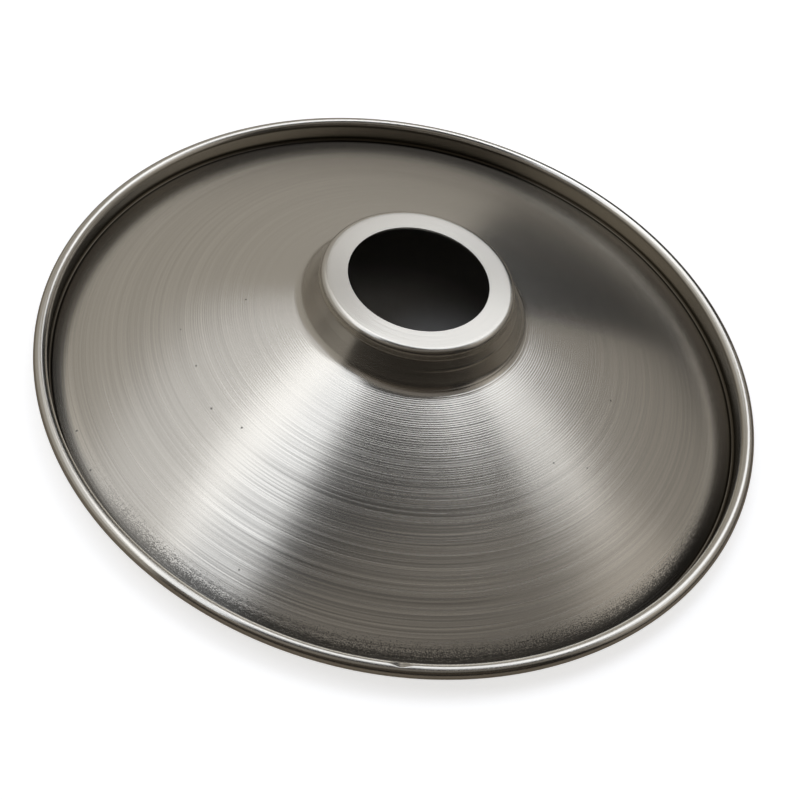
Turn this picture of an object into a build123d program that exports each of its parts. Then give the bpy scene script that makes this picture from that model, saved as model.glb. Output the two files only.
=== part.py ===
"""Spun metal lampshade: one sheet, formed in one piece from the lampholder hole to the rolled bead.

Millimetres and degrees. The axis of spinning is Z, the neck points up, and Z = 0 is the underside of
the gutter fold, the ring on which the shade stands.
"""
import os
from math import asin, cos, degrees, radians, sin, sqrt

from build123d import *

# Sheet and overall size
sheet = 0.7  # thickness, the same all over
rim_diameter = 222.0  # over the rolled bead
overall_height = 42.0  # from the gutter's underside to the flat top

# Lampholder seat
hole_diameter = 42.0  # takes the usual large lampholder
flat_diameter = 54.0  # flat top disc, up to where the shoulder bends away

# Neck, radii measured on the outer face
shoulder_bend = 2.0
collar_height = 3.0  # from the flat top down to the step line
collar_lean = 6.0  # how far the collar under the shoulder leans out from the axis
step_bend = 1.0  # the step line, where the collar turns into the flare
neck_height = 10.0  # from the flat top down to the neck's foot
neck_flare = 27.0  # how far the neck wall leans out below the step line
foot_bend = 5.0  # the hollow between neck and cone

# Cone
cone_start_slope = 15.0  # below level, where the cone leaves the neck

# Rim, radii measured on the outer face
bead_diameter = 4.1  # over the rolled edge
bead_height = 6.2  # centre of the bead above the gutter's underside
curl_turn = 300.0  # how far the edge is rolled, short of closing on the wall
wall_bend = 12.0  # the upright wall, truly upright only where it meets the bead
fold_bend = 0.8  # the tight fold between wall and cone

hole_radius = hole_diameter / 2
flat_radius = flat_diameter / 2
rim_radius = rim_diameter / 2
bead_radius = bead_diameter / 2

# Neck: the shoulder turns from level down to the collar, the step line turns out into the flare, and
# the foot turns back to the cone.
shoulder_turn = 90 - collar_lean
step_turn = neck_flare - collar_lean
foot_turn = 90 - neck_flare - cone_start_slope
shoulder_drop = shoulder_bend * (1 - sin(radians(collar_lean)))
step_drop = step_bend * (sin(radians(neck_flare)) - sin(radians(collar_lean)))
collar_run = (collar_height - shoulder_drop) / cos(radians(collar_lean))
neck_run = (neck_height - collar_height - step_drop) / cos(radians(neck_flare))
cone_normal = Vector(sin(radians(cone_start_slope)), cos(radians(cone_start_slope)))

# Rim: the wall rolls down from the bead into the fold, whose lowest point is one sheet above Z = 0,
# so the fold's circle touches the wall's circle from inside.
bead_center = Vector(rim_radius - bead_radius, bead_height)
wall_center = Vector(bead_center.X - bead_radius - wall_bend, bead_height)
fold_drop = bead_height - sheet - fold_bend
fold_reach = sqrt((wall_bend - fold_bend) ** 2 - fold_drop**2)
fold_center = wall_center + Vector(fold_reach, -fold_drop)
wall_turn = degrees(asin(fold_drop / (wall_bend - fold_bend)))


def cone_bow_center(start):
    """Centre of the cone's bow, which leaves the neck at its slope and ends touching the fold."""
    to_fold = fold_center - start
    bow = (fold_bend**2 - to_fold.dot(to_fold)) / (2 * (to_fold.dot(cone_normal) - fold_bend))
    return start - cone_normal * bow


def sheet_face(depth):
    """One face of the sheet, from the hole to the end of the curl, at a depth under the outer face."""
    level = overall_height - depth
    disc = Line((hole_radius, level), (flat_radius, level))
    shoulder = JernArc(disc @ 1, disc % 1, shoulder_bend - depth, -shoulder_turn)
    collar = PolarLine(shoulder @ 1, collar_run, direction=shoulder % 1)
    step = JernArc(collar @ 1, collar % 1, step_bend + depth, step_turn)
    neck = PolarLine(step @ 1, neck_run, direction=step % 1)
    foot = JernArc(neck @ 1, neck % 1, foot_bend + depth, foot_turn)
    bow_center = cone_bow_center(foot @ 1 + cone_normal * depth)
    cone_end = fold_center + (bow_center - fold_center).normalized() * (fold_bend + depth)
    cone = TangentArc(foot @ 1, cone_end, tangent=foot % 1)
    wall = CenterArc(wall_center, wall_bend + depth, 0, -wall_turn)
    TangentArc(cone @ 1, wall @ 1, tangent=cone % 1)
    curl = CenterArc(bead_center, bead_radius - depth, 180, -curl_turn)
    return disc @ 0, curl @ 1


with BuildPart() as shade_shell:
    with BuildSketch(Plane.XZ):
        with BuildLine():
            outer_start, outer_end = sheet_face(0)
            inner_start, inner_end = sheet_face(sheet)
            Line(outer_start, inner_start)
            Line(outer_end, inner_end)
        make_face()
    revolve(axis=Axis.Z)

shade_shell.part.label = "shade_shell"

os.makedirs("parts", exist_ok=True)
export_step(shade_shell.part, "parts/shade_shell.step")

box = shade_shell.part.bounding_box()
print("size", round(box.size.X, 3), round(box.size.Y, 3), round(box.size.Z, 3), "lowest", round(box.min.Z, 3))
print("solids", len(shade_shell.part.solids()), "volume", round(shade_shell.part.volume, 1))
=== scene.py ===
# %% [markdown]
# A lampshade spun from one sheet of steel, seen from above as in the photograph.
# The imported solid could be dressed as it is, but its triangles are too coarse for the mirror lines on a
# spun bead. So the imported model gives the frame, and one finely divided mesh replaces its only node.

# %% Load the frame
import bmesh
import bpy
from math import asin, cos, degrees, exp, pi, radians, sin, sqrt, tan
from mathutils import Matrix, Vector


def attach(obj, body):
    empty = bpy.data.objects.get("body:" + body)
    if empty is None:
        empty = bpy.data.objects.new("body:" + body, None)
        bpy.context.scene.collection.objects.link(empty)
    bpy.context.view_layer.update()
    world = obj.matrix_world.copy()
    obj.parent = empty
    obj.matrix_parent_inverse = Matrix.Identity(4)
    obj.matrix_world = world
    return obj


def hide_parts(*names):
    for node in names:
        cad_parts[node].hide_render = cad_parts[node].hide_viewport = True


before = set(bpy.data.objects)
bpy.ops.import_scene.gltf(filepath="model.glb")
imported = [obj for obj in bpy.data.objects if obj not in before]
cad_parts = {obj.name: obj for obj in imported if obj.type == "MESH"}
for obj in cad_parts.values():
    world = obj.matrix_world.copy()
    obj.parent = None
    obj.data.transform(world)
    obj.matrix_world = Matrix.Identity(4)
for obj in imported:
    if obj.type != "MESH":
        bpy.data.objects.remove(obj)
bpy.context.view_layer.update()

# %% [markdown]
# The sizes are the part's own, in millimetres and degrees, and MM turns them into metres. One differs: the
# wall beside the bead has a gentler bend than the part's 12 mm. It then stands steeper, which gives the
# narrow dark band of the photograph and sets the gutter fold outwards by just under a millimetre.

# %% Sizes
MM = 0.001
sheet = 0.7
rim_radius = 111.0
overall_height = 42.0
hole_radius = 21.0
flat_radius = 27.0
shoulder_bend = 2.0
collar_height = 3.0
collar_lean = 6.0
step_bend = 1.0
neck_height = 10.0
neck_flare = 27.0
foot_bend = 5.0
cone_start_slope = 15.0
bead_radius = 2.05
bead_height = 6.2
curl_turn = 300.0
wall_bend = 60.0
fold_bend = 0.8
print("shade", 2 * rim_radius, "mm wide,", overall_height, "mm high, hole", 2 * hole_radius, "mm")

# %% [markdown]
# The camera looks down over the shade as in the photograph, and its roll tips the rim the same way.
# Turning the shade would do the same, but a piece keeps the part's own place. The photograph is the right
# part of a wider picture, so the shift moves the frame to that side.

# %% Camera
camera_place = Vector((-0.03753, -0.34352, 0.38294))
camera_tilt = 44.34
camera_roll = 10.23
camera_lens = 74.52
camera_shift = (0.14, -0.15)

camera_data = bpy.data.cameras.new("camera")
camera_data.sensor_width = 36.0
camera_data.lens = camera_lens
camera_data.shift_x, camera_data.shift_y = camera_shift
camera_data.clip_start = 0.01
camera_data.clip_end = 40.0
camera = bpy.data.objects.new("camera", camera_data)
turned = Matrix.Rotation(radians(camera_tilt), 4, "X") @ Matrix.Rotation(radians(camera_roll), 4, "Z")
camera.matrix_world = Matrix.Translation(camera_place) @ turned
bpy.context.scene.collection.objects.link(camera)
bpy.context.scene.camera = camera
print("camera", round(camera_place.length, 3), "m from the middle of the shade")

# %% [markdown]
# The section is a chain of stretches that touch each other, from the hole to the end of the curl. A curve
# object could hold it, but its points would have to be worked out all the same. Here each stretch is a
# small rule: it gives a point from its share along the way and its depth under the outer face.

# %% Kinds of stretch
def toward(angle):
    """Direction of an angle in the plane of the section, as (radius, height)."""
    return Vector((cos(radians(angle)), sin(radians(angle))))


def straight(start, end):
    """A straight stretch, with the outer face on the left of its way."""
    outward = Vector((start.y - end.y, end.x - start.x)).normalized()
    return lambda share, depth: start.lerp(end, share) - outward * depth


def bend(center, radius, first, last, side):
    """A round stretch. Side is -1 where the sheet lies inside the radius and 1 where it lies outside."""
    return lambda share, depth: center + toward(first + (last - first) * share) * (radius + side * depth)


# %% [markdown]
# The neck carries the lampholder: a flat ring round the hole, the shoulder, an upright collar, the step
# line, the flare and the hollow foot. Each starts where the one before it ends, so the sheet has no kink.

# %% Neck section
flat_start = Vector((hole_radius, overall_height))
flat_end = Vector((flat_radius, overall_height))
shoulder_center = flat_end - Vector((0, shoulder_bend))
collar_start = shoulder_center + toward(collar_lean) * shoulder_bend
collar_drop = collar_height - shoulder_bend * (1 - sin(radians(collar_lean)))
collar_end = collar_start + toward(collar_lean - 90) * (collar_drop / cos(radians(collar_lean)))
step_center = collar_end + toward(collar_lean) * step_bend
flare_start = step_center - toward(neck_flare) * step_bend
flare_drop = flare_start.y - (overall_height - neck_height)
flare_end = flare_start + toward(neck_flare - 90) * (flare_drop / cos(radians(neck_flare)))
foot_center = flare_end + toward(neck_flare) * foot_bend
foot_turned = 270 - cone_start_slope
cone_start = foot_center + toward(foot_turned) * foot_bend
neck_points = (collar_start, flare_start, flare_end, cone_start)
print("neck", [(round(point.x, 2), round(point.y, 2)) for point in neck_points])

# %% [markdown]
# The rim stiffens the shade: the cone ends in a tight fold, the gutter, and the sheet comes up as a wall
# and rolls into a hollow bead. The wall's bend meets the bead upright, the fold's circle touches the wall's
# from inside, and the cone's bow is the one circle that leaves the neck at its slope and ends on the fold.

# %% Rim section
bead_center = Vector((rim_radius - bead_radius, bead_height))
wall_center = bead_center - Vector((bead_radius + wall_bend, 0))
fold_drop = bead_height - sheet - fold_bend
fold_center = wall_center + Vector((sqrt((wall_bend - fold_bend) ** 2 - fold_drop**2), -fold_drop))
wall_turned = -degrees(asin(fold_drop / (wall_bend - fold_bend)))

to_fold = fold_center - cone_start
cone_normal = toward(90 - cone_start_slope)
bow_radius = (fold_bend**2 - to_fold.dot(to_fold)) / (2 * (to_fold.dot(cone_normal) - fold_bend))
bow_center = cone_start - cone_normal * bow_radius
bow_turned = degrees(Vector((1, 0)).angle(fold_center - bow_center))
print("cone bow", round(bow_radius, 2), "from", 90 - cone_start_slope, "to", round(bow_turned, 2))

# %% [markdown]
# Each row holds a stretch, and into how many steps its outer and its inner face are cut. Tight bends and
# the bead get the most, because a mirror finish shows every corner. The inner face lies hidden under the
# shade, so it has fewer.

# %% Stretches
stretches = {
    "flat": (straight(flat_start, flat_end), 6, 2),
    "shoulder": (bend(shoulder_center, shoulder_bend, 90, collar_lean, -1), 14, 6),
    "collar": (straight(collar_start, collar_end), 4, 2),
    "step": (bend(step_center, step_bend, 180 + collar_lean, 180 + neck_flare, 1), 6, 3),
    "flare": (straight(flare_start, flare_end), 12, 2),
    "foot": (bend(foot_center, foot_bend, 180 + neck_flare, foot_turned, 1), 20, 6),
    "cone": (bend(bow_center, bow_radius, 90 - cone_start_slope, bow_turned, -1), 70, 16),
    "fold": (bend(fold_center, fold_bend, bow_turned + 180, 360 + wall_turned, 1), 12, 6),
    "wall": (bend(wall_center, wall_bend, wall_turned, 0, 1), 12, 4),
    "curl": (bend(bead_center, bead_radius, 180, 180 - curl_turn, -1), 48, 20),
}

outer_face = [flat_start]
inner_face = [flat_start - Vector((0, sheet))]
for stretch, outer_steps, inner_steps in stretches.values():
    outer_face += [stretch((i + 1) / outer_steps, 0) for i in range(outer_steps)]
    inner_face += [stretch((i + 1) / inner_steps, sheet) for i in range(inner_steps)]
section = outer_face + inner_face[::-1]
print("section points", len(outer_face), len(inner_face))

# %% [markdown]
# The closed section is spun once round the axis, as the sheet was on the lathe. A Screw modifier would do
# it too, but the dent of the next step needs the mesh itself.

# %% Spin the shade
around = 300
same_place = 1e-7

mesh = bpy.data.meshes.new("spun_shade")
bm = bmesh.new()
verts = [bm.verts.new((point.x * MM, 0.0, point.y * MM)) for point in section]
edges = [bm.edges.new((a, b)) for a, b in zip(verts, verts[1:] + verts[:1])]
bmesh.ops.spin(
    bm, geom=verts + edges, cent=(0, 0, 0), axis=(0, 0, 1), angle=2 * pi, steps=around, use_merge=True
)
bmesh.ops.remove_doubles(bm, verts=bm.verts, dist=same_place)
bmesh.ops.recalc_face_normals(bm, faces=bm.faces)
print("spun vertices", len(bm.verts), "faces", len(bm.faces))

# %% [markdown]
# A knock has left a small flat on the inner side of the bead's top, near the camera. A bump could darken
# the spot but not break the bright line on the bead. So the mesh is cut finer there and laid back on the
# bead's round, and what stands over the flat is pressed down on to it.

# %% Dent in the bead
dent_azimuth = 275.0
dent_facing = 106.0
dent_half_length = 1.9
dent_depth = 0.28
dent_margin = 6.0
outer_skin = 0.1

dent_way = Vector((cos(radians(dent_azimuth)), sin(radians(dent_azimuth))))


def along_rim(co):
    """Distance from the middle of the dent along the rim, in millimetres."""
    return rim_radius * dent_way.angle_signed(co.xy)


def on_bead(co):
    """Place from the centre of the bead's round, as (radius, height) in millimetres."""
    return Vector((co.xy.length, co.z)) / MM - bead_center


def near_dent(co):
    """Whether a vertex lies on the upper half of the bead's outer face, beside the dent."""
    place = on_bead(co)
    return abs(along_rim(co)) < dent_margin and place.y > 0 and abs(place.length - bead_radius) < outer_skin


top_edges = [edge for edge in bm.edges if all(near_dent(vert.co) for vert in edge.verts)]
bmesh.ops.subdivide_edges(bm, edges=top_edges, cuts=3, use_grid_fill=True)
for vert in bm.verts:
    if near_dent(vert.co):
        place = on_bead(vert.co).normalized() * bead_radius
        depth = dent_depth * exp(-((along_rim(vert.co) / dent_half_length) ** 2))
        proud = place.dot(toward(dent_facing)) - (bead_radius - depth)
        place -= toward(dent_facing) * max(0.0, proud)
        reach = (bead_center.x + place.x) * MM
        vert.co = (*(vert.co.xy.normalized() * reach), (bead_center.y + place.y) * MM)
print("edges cut finer", len(top_edges))

# %% [markdown]
# The faces are shaded smooth, as rolled sheet looks. Only the cut edges of the sheet, at the hole and at
# the end of the curl, turn by more than the sharp angle and stay crisp.

# %% Smooth the shade
sharp_angle = 40

for face in bm.faces:
    face.smooth = True
for edge in bm.edges:
    edge.smooth = edge.calc_face_angle(0.0) < radians(sharp_angle)
bm.to_mesh(mesh)
bm.free()
shade = bpy.data.objects.new("spun_shade", mesh)
bpy.context.scene.collection.objects.link(shade)
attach(shade, "root")
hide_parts("shade_shell")
print("shade triangles", sum(len(face.vertices) - 2 for face in mesh.polygons))

# %% [markdown]
# One small function adds a node to any material, so that a finish reads as a list of steps. Another turns
# the hex colours of the screen into the linear ones that the renderer reckons in.

# %% Node helpers
MATH = "ShaderNodeMath"
VECTOR = "ShaderNodeVectorMath"
RANGE = "ShaderNodeMapRange"


def linear(code):
    """Linear colour of an sRGB hex code."""
    parts = [int(code[i:i + 2], 16) / 255 for i in (1, 3, 5)]
    return tuple(c / 12.92 if c <= 0.04045 else ((c + 0.055) / 1.055) ** 2.4 for c in parts) + (1.0,)


def add_node(tree, kind, inputs=(), **settings):
    """Adds one node. Inputs gives each socket a value, or the output or the node that feeds it."""
    node = tree.nodes.new(kind)
    for name, value in settings.items():
        setattr(node, name, value)
    pairs = inputs.items() if isinstance(inputs, dict) else enumerate(inputs)
    for socket, value in pairs:
        if isinstance(value, bpy.types.Node):
            value = value.outputs[0]
        if isinstance(value, bpy.types.NodeSocket):
            tree.links.new(value, node.inputs[socket])
        else:
            node.inputs[socket].default_value = value
    return node


# %% [markdown]
# Every finish of the shade follows the lathe, so patterns are drawn by the radius, in millimetres, and by
# the turn round the axis. The turn is a direction and not an angle, so that a pattern has no seam where
# the angle starts again.

# %% Lathe coordinates
steel = bpy.data.materials.new("brushed_steel")
steel.use_nodes = True
tree = steel.node_tree
tree.nodes.clear()
spot = add_node(tree, "ShaderNodeTexCoord").outputs["Object"]
flat_spot = add_node(tree, VECTOR, (spot, (1, 1, 0)), operation="MULTIPLY")
turn = add_node(tree, VECTOR, (flat_spot,), operation="NORMALIZE")
run = add_node(tree, VECTOR, (flat_spot,), operation="LENGTH").outputs["Value"]
radius = add_node(tree, MATH, (run, 1 / MM), operation="MULTIPLY")
print("steel nodes for the place", len(tree.nodes))

# %% [markdown]
# Streaks are what an abrasive leaves on a turning piece: noise that changes quickly along the radius and
# slowly round the axis. A wave texture would give rings of one width, so noise is stretched instead. The
# width of a streak is in millimetres, and changes says how often it changes on the way round. Side makes
# a finish differ round the shade.

# %% Streaks
def streaks(width, changes):
    """Noise stretched round the axis, from 0 to 1."""
    rows = add_node(tree, MATH, (radius, width), operation="DIVIDE")
    rise = add_node(tree, "ShaderNodeCombineXYZ", {"Z": rows})
    place = add_node(tree, VECTOR, (turn, (changes, changes, 0), rise), operation="MULTIPLY_ADD")
    return add_node(tree, "ShaderNodeTexNoise", {"Vector": place, "Scale": 1.0, "Detail": 2.0})


def side(azimuth, start, end, low, high):
    """Soft step between sides of the shade. Start and end are 1 toward the azimuth and -1 away from it."""
    way = (cos(radians(azimuth)), sin(radians(azimuth)), 0)
    facing = add_node(tree, VECTOR, (turn, way), operation="DOT_PRODUCT").outputs["Value"]
    return add_node(tree, RANGE, (facing, start, end, low, high), interpolation_type="SMOOTHSTEP")


# %% [markdown]
# The spinning roller leaves a fine ridge at every turn, deepest beside the neck. The feed is the distance
# between ridges, and bands of slower noise make it wander. They could be cut in the mesh, but are less
# than a hundredth of a millimetre high, so a bump draws them. All heights are in millimetres.

# %% Relief of the roller
feed = 0.65
feed_wander = 6.0
ridge_at_neck = 0.0075
ridge_at_rim = 0.001
cone_begins = (33.0, 36.0)
ridges_fade = (48.0, 82.0)
band_width = 1.6
slow_changes = 0.6

on_cone = add_node(tree, RANGE, (radius, *cone_begins, 0, 1), interpolation_type="SMOOTHSTEP")
fading = add_node(
    tree, RANGE, (radius, *ridges_fade, ridge_at_neck, ridge_at_rim), interpolation_type="SMOOTHSTEP"
)
ridge_height = add_node(tree, MATH, (fading, on_cone), operation="MULTIPLY")
bands = streaks(band_width, slow_changes)
wander = add_node(tree, MATH, (bands, feed_wander), operation="MULTIPLY")
phase = add_node(tree, MATH, (radius, 2 * pi / feed, wander), operation="MULTIPLY_ADD")
ridges = add_node(tree, MATH, (phase,), operation="SINE")
relief = add_node(tree, MATH, (ridges, ridge_height), operation="MULTIPLY")
print("ridges between neck and rim", round((rim_radius - flat_radius) / feed))

# %% [markdown]
# The abrasive that followed left irregular lines, and it bit harder on the near side. Real ones are too
# fine to show from here, so they are drawn wider and higher. Wider bands and waves keep the cone from
# looking like a perfect mirror shape.

# %% Relief of the abrasive
near_side = 265
bite_grows = (0.1, 0.8)
bite_far = 0.35
bite_near = 1.4
line_width = 0.35
line_changes = 0.8
line_height = 0.012
band_height = 0.001
wave_width = 6.0
wave_height = 0.003

bite = side(near_side, *bite_grows, bite_far, bite_near)
bite_on_cone = add_node(tree, MATH, (on_cone, bite), operation="MULTIPLY")
line_depth = add_node(tree, MATH, (bite_on_cone, line_height), operation="MULTIPLY")
lines = streaks(line_width, line_changes)
waves = streaks(wave_width, slow_changes)
relief = add_node(tree, MATH, (lines, line_depth, relief), operation="MULTIPLY_ADD")
relief = add_node(tree, MATH, (bands, band_height, relief), operation="MULTIPLY_ADD")
relief = add_node(tree, MATH, (waves, wave_height, relief), operation="MULTIPLY_ADD")
print("abrasive lines", line_width, "mm wide and", line_height, "mm high")

# %% [markdown]
# On the right side of the neck a few single rings of the roller stand out. Each is a soft ridge at its own
# radius, added to the same relief, and the bump turns the whole relief into slopes.

# %% Rings of the neck
ring_side = 350
ring_grows = (0.1, 0.7)
ring_elsewhere = 0.1
ring_radii = (29.0, 30.6, 33.6, 35.2)
ring_half_width = 0.3
ring_height = 0.05

for ring_radius in ring_radii:
    offset = add_node(tree, MATH, (radius, ring_radius), operation="SUBTRACT")
    away = add_node(tree, MATH, (offset,), operation="ABSOLUTE")
    crest = add_node(tree, RANGE, (away, 0, ring_half_width, 1, 0), interpolation_type="SMOOTHSTEP")
    here = side(ring_side, *ring_grows, ring_elsewhere, 1)
    ring = add_node(tree, MATH, (crest, here), operation="MULTIPLY")
    relief = add_node(tree, MATH, (ring, ring_height, relief), operation="MULTIPLY_ADD")
bump = add_node(tree, "ShaderNodeBump", {"Height": relief, "Distance": MM, "Strength": 1.0})
print("rings on the neck", len(ring_radii))

# %% [markdown]
# Each ring of the brushing is a little rougher or smoother than the next, and a little lighter or darker.
# Streaks of one width would look like paint, so two widths are added up. On the neck the streaks are
# weaker, and the bead is smoother, because the abrasive hardly touched it.

# %% Brushing
cone_roughness = 0.25
bead_roughness = 0.2
brush_roughness = 0.08
brush_tone = 0.14
neck_brushing = 0.4
neck_ends = (32.0, 37.0)
cone_ends = (104.5, 105.5)
fine_width = 0.3
fine_changes = 0.9
coarse_width = 0.45

past_neck = add_node(tree, RANGE, (radius, *neck_ends, neck_brushing, 1), interpolation_type="SMOOTHSTEP")
brush_strength = add_node(tree, MATH, (past_neck, bite), operation="MULTIPLY")
fine_streaks = streaks(fine_width, fine_changes)
coarse_streaks = streaks(coarse_width, slow_changes)
two_widths = add_node(tree, MATH, (fine_streaks, coarse_streaks), operation="ADD")
balanced = add_node(tree, MATH, (two_widths, 1.0), operation="SUBTRACT")
brushed = add_node(tree, MATH, (balanced, brush_strength), operation="MULTIPLY")
plain_roughness = add_node(
    tree, RANGE, (radius, *cone_ends, cone_roughness, bead_roughness), interpolation_type="SMOOTHSTEP"
)
roughness = add_node(tree, MATH, (brushed, brush_roughness, plain_roughness), operation="MULTIPLY_ADD")
tone = add_node(tree, MATH, (brushed, brush_tone, 1.0), operation="MULTIPLY_ADD")
print("roughness of the cone", cone_roughness, "and of the bead", bead_roughness)

# %% [markdown]
# On the near side the abrasive has scored the cone with dark and light arcs. There the light comes evenly
# from all heights and a bump hardly shows, so the arcs are drawn in the steel's tone.

# %% Scored arcs
score_width = 0.42
score_tone = 1.6
score_tone_elsewhere = 0.35
score_grows = (0.84, 0.96)
score_begins = (40.0, 70.0)
score_at_neck = 0.2

scored = add_node(tree, MATH, (streaks(score_width, slow_changes), 0.5), operation="SUBTRACT")
score_side = side(near_side, *score_grows, score_tone_elsewhere, score_tone)
score_run = add_node(
    tree, RANGE, (radius, *score_begins, score_at_neck, 1), interpolation_type="SMOOTHSTEP"
)
score_depth = add_node(tree, MATH, (score_side, score_run), operation="MULTIPLY")
tone = add_node(tree, MATH, (scored, score_depth, tone), operation="MULTIPLY_ADD")
print("scored arcs", score_width, "mm wide")

# %% [markdown]
# The gutter behind the bead, from the cone's end to the foot of the bead, is painted dark: painted shade
# for the shade and dark mirror image of that deep fold. A second material would need its own faces, so a
# mask is drawn by radius. Beside it the edge of the cone is painted lighter, a painted highlight that
# offsets the wall's dark reflection there, except on the side with dark specks.

# %% Gutter
gutter_begins = (104.9, 105.4)
gutter_ends = (106.95, 107.3)
edge_begins = (98.0, 103.5)
# Painted highlight: how much lighter the cone's edge beside the gutter is painted.
edge_painted_light = 0.45
speck_side = 285
specks_grow = (0.15, 0.75)

in_gutter = add_node(tree, RANGE, (radius, *gutter_begins, 0, 1), interpolation_type="SMOOTHSTEP")
off_bead = add_node(tree, RANGE, (radius, *gutter_ends, 1, 0), interpolation_type="SMOOTHSTEP")
# Mask of the painted shade in the gutter.
gutter_shade_mask = add_node(tree, MATH, (in_gutter, off_bead), operation="MULTIPLY")
off_gutter = add_node(tree, RANGE, (radius, *gutter_begins, 1, 0), interpolation_type="SMOOTHSTEP")
near_edge = add_node(tree, RANGE, (radius, *edge_begins, 0, 1), interpolation_type="SMOOTHSTEP")
speck_side_mask = side(speck_side, *specks_grow, 0, 1)
away_from_specks = add_node(tree, MATH, (1.0, speck_side_mask), operation="SUBTRACT")
edge = add_node(tree, MATH, (near_edge, off_gutter), operation="MULTIPLY")
edge_away_from_specks = add_node(tree, MATH, (edge, away_from_specks), operation="MULTIPLY")
# Painted highlight on the cone's edge, which offsets the dark reflection of the wall there.
painted_light_factor = add_node(tree, MATH, (edge_away_from_specks, edge_painted_light, 1.0), operation="MULTIPLY_ADD")
tone = add_node(tree, MATH, (tone, painted_light_factor), operation="MULTIPLY")
print("gutter from the radius of", gutter_begins[0], "to", gutter_ends[1], "mm")

# %% [markdown]
# On the near side the cone darkens in specks towards the gutter. Fine noise shifts the radius at which
# the darkening starts, so that its border breaks up into grains of the size of a speck.

# %% Dark specks
speck_size = 0.3
speck_reach = 12.0
speck_darkness = 0.78
specks_begin = (99.5, 103.0)

grain = add_node(
    tree, "ShaderNodeTexNoise", {"Vector": spot, "Scale": 1 / (speck_size * MM), "Detail": 1.0}
)
inward = add_node(tree, MATH, (radius, speck_reach / 2), operation="SUBTRACT")
speckled = add_node(tree, MATH, (grain, speck_reach, inward), operation="MULTIPLY_ADD")
specks = add_node(
    tree, RANGE, (speckled, *specks_begin, 0, speck_darkness), interpolation_type="SMOOTHSTEP"
)
specks_here = add_node(tree, MATH, (specks, speck_side_mask), operation="MULTIPLY")
# The cone is darker in specks on the near side, towards the gutter.
dark_specks = add_node(tree, MATH, (specks_here, off_gutter), operation="MULTIPLY")
speck_factor = add_node(tree, MATH, (1.0, dark_specks), operation="SUBTRACT")
tone = add_node(tree, MATH, (tone, speck_factor), operation="MULTIPLY")
print("specks of", speck_size, "mm")

# %% [markdown]
# Small dark pits in the sheet. They are too small for the mesh, so each is a dark spot at its own place.
# Each row: radius in millimetres, azimuth in degrees, size in millimetres.

# %% Pits
pits = [
    (39.4, 17.0, 0.35), (49.1, 186.2, 0.35), (68.0, 219.5, 0.45), (65.2, 228.8, 0.45), (94.5, 247.2, 0.35),
    (101.6, 207.8, 0.4), (102.5, 215.8, 0.35), (64.3, 347.0, 0.4), (68.9, 324.5, 0.35), (62.4, 317.2, 0.35),
    (66.1, 206.2, 0.4), (68.0, 193.3, 0.3),
]
pit_tone = 0.25
pit_heart = 0.4

pitted = 1.0
for pit_radius, azimuth, size in pits:
    place = (pit_radius * MM * cos(radians(azimuth)), pit_radius * MM * sin(radians(azimuth)), 0)
    away = add_node(tree, VECTOR, (flat_spot, place), operation="DISTANCE").outputs["Value"]
    pit = add_node(
        tree, RANGE, (away, pit_heart * size * MM, size * MM, pit_tone, 1.0), interpolation_type="SMOOTHSTEP"
    )
    pitted = add_node(tree, MATH, (pitted, pit), operation="MINIMUM")
tone = add_node(tree, MATH, (tone, pitted), operation="MULTIPLY")
print("pits", len(pits))

# %% [markdown]
# Brushed steel, ground on the lathe. The grinding leaves fine rings, so the reflection spreads along the
# radius and stays narrow round the axis, which gives the eye the bright fans of a turned disc. The tangent
# runs round the axis and is turned a quarter to lie on the radius. In the gutter the steel's colour is
# mixed with a dark painted shade.

# %% Brushed steel
bright_steel = "#cbc6bc"
# Painted shade: the dark colour of the gutter stands for shade, not for a real colour of the steel.
gutter_painted_shade = "#4b453b"
ring_spread = 0.67
quarter_turn = 0.25

steel_and_painted_shade = add_node(
    tree, "ShaderNodeMix", {0: gutter_shade_mask, 6: linear(bright_steel), 7: linear(gutter_painted_shade)}, data_type="RGBA"
)
color = add_node(tree, VECTOR, {0: steel_and_painted_shade.outputs[2], 3: tone}, operation="SCALE")
tangent = add_node(tree, "ShaderNodeTangent", direction_type="RADIAL", axis="Z")
shader = add_node(
    tree, "ShaderNodeBsdfPrincipled",
    {
        "Base Color": color,
        "Metallic": 1.0,
        "Roughness": roughness,
        "Anisotropic": ring_spread,
        "Anisotropic Rotation": quarter_turn,
        "Tangent": tangent,
        "Normal": bump,
    },
)
add_node(tree, "ShaderNodeOutputMaterial", {"Surface": shader})
shade.data.materials.append(steel)
print("steel nodes in all", len(tree.nodes))

# %% [markdown]
# The shade stands on a plain white floor, with its own soft shadow. A floor lit until it is white would
# take so much light that the steel burns out, so the floor also shines a little, for the camera and for
# reflections alone.

# %% Floor
floor_size = 16.0

floor_mesh = bpy.data.meshes.new("floor")
bm = bmesh.new()
bmesh.ops.create_grid(bm, x_segments=1, y_segments=1, size=floor_size / 2)
bm.to_mesh(floor_mesh)
bm.free()
floor = bpy.data.objects.new("floor", floor_mesh)
bpy.context.scene.collection.objects.link(floor)
print("floor", floor_size, "m square")

# %% [markdown]
# White paint, matt, so that it shows no mirror image. Under the shade it doesn't shine, and a painted shadow
# makes it darker away from the axis, so that the hole shows black at its far edge and grey at the near one.

# %% White floor paint
floor_glow = 0.66
paint_white = 0.8
paint_in_shadow = 0.22
painted_shadow_grows = (0.018, 0.05)
shade_ends = (0.096, 0.105)

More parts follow.
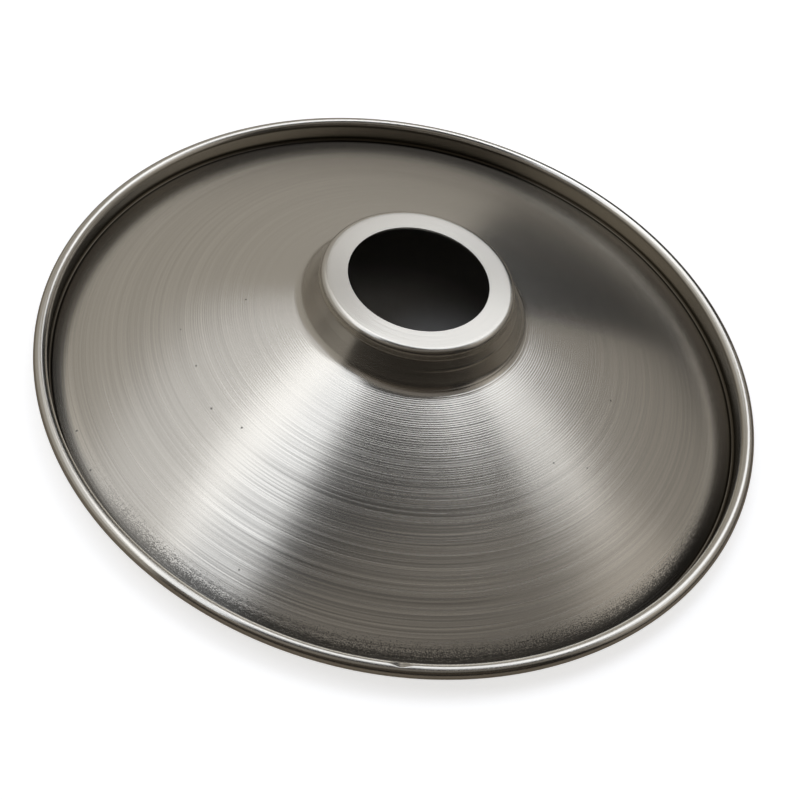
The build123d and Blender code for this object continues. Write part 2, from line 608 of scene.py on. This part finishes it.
white_paint = bpy.data.materials.new("white_floor_paint")
white_paint.use_nodes = True
tree = white_paint.node_tree
tree.nodes.clear()
path = add_node(tree, "ShaderNodeLightPath")
camera_or_glossy = (path.outputs["Is Camera Ray"], path.outputs["Is Glossy Ray"])
either = add_node(tree, MATH, camera_or_glossy, operation="MAXIMUM")
seen = add_node(tree, MATH, (either, path.outputs["Is Transmission Ray"]), operation="MAXIMUM")
floor_spot = add_node(tree, "ShaderNodeTexCoord").outputs["Object"]
floor_run = add_node(tree, VECTOR, (floor_spot,), operation="LENGTH").outputs["Value"]
open_floor = add_node(tree, RANGE, (floor_run, *shade_ends, 0, 1), interpolation_type="SMOOTHSTEP")
shine = add_node(tree, MATH, (open_floor, floor_glow), operation="MULTIPLY")
strength = add_node(tree, MATH, (seen, shine), operation="MULTIPLY")
glow = add_node(tree, "ShaderNodeEmission", {"Strength": strength})
# Painted shadow: under the shade the floor's paint grows darker away from the axis.
painted_shadow_under_shade = add_node(
    tree, RANGE, (floor_run, *painted_shadow_grows, paint_white, paint_in_shadow), interpolation_type="SMOOTHSTEP"
)
paint_with_painted_shadow = add_node(tree, RANGE, (open_floor, 0, 1, painted_shadow_under_shade, paint_white))
matte = add_node(tree, "ShaderNodeBsdfDiffuse", {"Color": paint_with_painted_shadow})
paint = add_node(tree, "ShaderNodeAddShader", (glow, matte))
add_node(tree, "ShaderNodeOutputMaterial", {"Surface": paint})
floor.data.materials.append(white_paint)
print("floor nodes", len(tree.nodes))

# %% [markdown]
# Metal on a white floor mirrors white from every low direction and looks like paper. So dark card is laid
# round it for product pictures, and round this shade too: a flat ring that starts outside the bead and
# that only reflections see.

# %% Card
card_inner = 0.112
card_outer = 7.5
card_lift = 0.0002
card_steps = 64

card_mesh = bpy.data.meshes.new("black_card")
bm = bmesh.new()
spoke = bm.edges.new((bm.verts.new((card_inner, 0, card_lift)), bm.verts.new((card_outer, 0, card_lift))))
bmesh.ops.spin(
    bm, geom=[*spoke.verts, spoke], cent=(0, 0, 0), axis=(0, 0, 1), angle=2 * pi, steps=card_steps,
    use_merge=True,
)
bm.to_mesh(card_mesh)
bm.free()
card = bpy.data.objects.new("black_card", card_mesh)
bpy.context.scene.collection.objects.link(card)
card.visible_camera = False
card.visible_diffuse = False
card.visible_shadow = False
card.visible_transmission = False
print("card ring from", card_inner, "to", card_outer, "m")

# %% [markdown]
# Matt card. In front of the shade it is nearly black, so that the neck and the outside of the bead stay
# dark. Behind the shade it is light, and farther out it is brown, so that the steel looks warm.

# %% Card colours
card_front = "#2e2b28"
card_behind = "#c4bfb6"
card_far = "#a3998b"
front_ends = (-0.08, 0.1)
far_begins = (0.2, 0.45)

black_card = bpy.data.materials.new("black_card")
black_card.use_nodes = True
tree = black_card.node_tree
tree.nodes.clear()
card_spot = add_node(tree, "ShaderNodeTexCoord").outputs["Object"]
card_run = add_node(tree, VECTOR, (card_spot,), operation="LENGTH").outputs["Value"]
card_axes = add_node(tree, "ShaderNodeSeparateXYZ", (card_spot,))
behind = add_node(
    tree, RANGE, (card_axes.outputs["Y"], *front_ends, 0, 1), interpolation_type="SMOOTHSTEP"
)
beside = add_node(tree, RANGE, (card_run, *far_begins, 1, 0), interpolation_type="SMOOTHSTEP")
inner_color = add_node(
    tree, "ShaderNodeMix", {0: behind, 6: linear(card_front), 7: linear(card_behind)}, data_type="RGBA"
)
card_color = add_node(
    tree, "ShaderNodeMix", {0: beside, 6: inner_color.outputs[2], 7: linear(card_far)}, data_type="RGBA"
)
card_matte = add_node(tree, "ShaderNodeBsdfDiffuse", {"Color": card_color.outputs[2]})
add_node(tree, "ShaderNodeOutputMaterial", {"Surface": card_matte})
card.data.materials.append(black_card)
print("card nodes", len(tree.nodes))

# %% [markdown]
# Soft boxes hang round the shade. The bright ones are high up at the back and sides and draw the fans of
# light on the cone, and the dim ones fill what lies between. A sky picture could do the same, but then no
# light could be moved by itself. Each row: azimuth from +X, elevation, width and height as angles from
# the shade, brightness, colour.

# %% Soft boxes
box_distance = 3.0
boxes = {
    "box_rear": (67, 58, 27, 31, 2.0, "#f0f5ff"),
    "box_left": (155, 71, 56, 20, 1.58, "#eef4ff"),
    "box_shelf": (157, 50, 53, 19, 0.50, "#eaf1ff"),
    "box_right": (27, 52, 21, 15, 1.12, "#f4f8ff"),
    "box_front": (298, 64, 114, 26, 0.22, "#fff8f0"),
    "box_near": (268, 36, 90, 24, 0.09, "#c9b49c"),
    "box_low": (16, 30, 70, 34, 0.31, "#fff8f0"),
}


def aim(azimuth, elevation):
    """Direction from the shade to a place in the studio."""
    a, e = radians(azimuth), radians(elevation)
    return Vector((cos(a) * cos(e), sin(a) * cos(e), sin(e)))


for name, (azimuth, elevation, width, height, brightness, color) in boxes.items():
    lamp = bpy.data.lights.new(name, "AREA")
    lamp.shape = "RECTANGLE"
    lamp.size = 2 * box_distance * tan(radians(width / 2))
    lamp.size_y = 2 * box_distance * tan(radians(height / 2))
    lamp.energy = pi * lamp.size * lamp.size_y * brightness
    lamp.color = linear(color)[:3]
    box = bpy.data.objects.new(name, lamp)
    direction = aim(azimuth, elevation)
    box.location = direction * box_distance
    box.rotation_euler = direction.to_track_quat("Z", "Y").to_euler()
    bpy.context.scene.collection.objects.link(box)
print("soft boxes", len(boxes))

# %% [markdown]
# One wall of the studio is lighter than the rest, which lights the far left of the cone evenly. A plane
# would cast its own shadow and end somewhere, so the world's colour changes with direction instead.

# %% Studio walls
wall_azimuth = 148
wall_glow = 0.42
dim_glow = 0.01
glow_start = 0.29
glow_full = 0.37

world = bpy.data.worlds.new("studio")
world.use_nodes = True
tree = world.node_tree
tree.nodes.clear()
outward = add_node(tree, "ShaderNodeTexCoord").outputs["Generated"]
to_wall = add_node(tree, VECTOR, (outward, aim(wall_azimuth, 0)), operation="DOT_PRODUCT").outputs["Value"]
lightness = add_node(
    tree, RANGE, (to_wall, glow_start, glow_full, dim_glow, wall_glow), interpolation_type="SMOOTHSTEP"
)
air = add_node(tree, "ShaderNodeBackground", {"Color": linear("#fffaf2"), "Strength": lightness})
add_node(tree, "ShaderNodeOutputWorld", {"Surface": air})
bpy.context.scene.world = world
bpy.context.scene.view_settings.view_transform = "Standard"
print("light wall at azimuth", wall_azimuth)
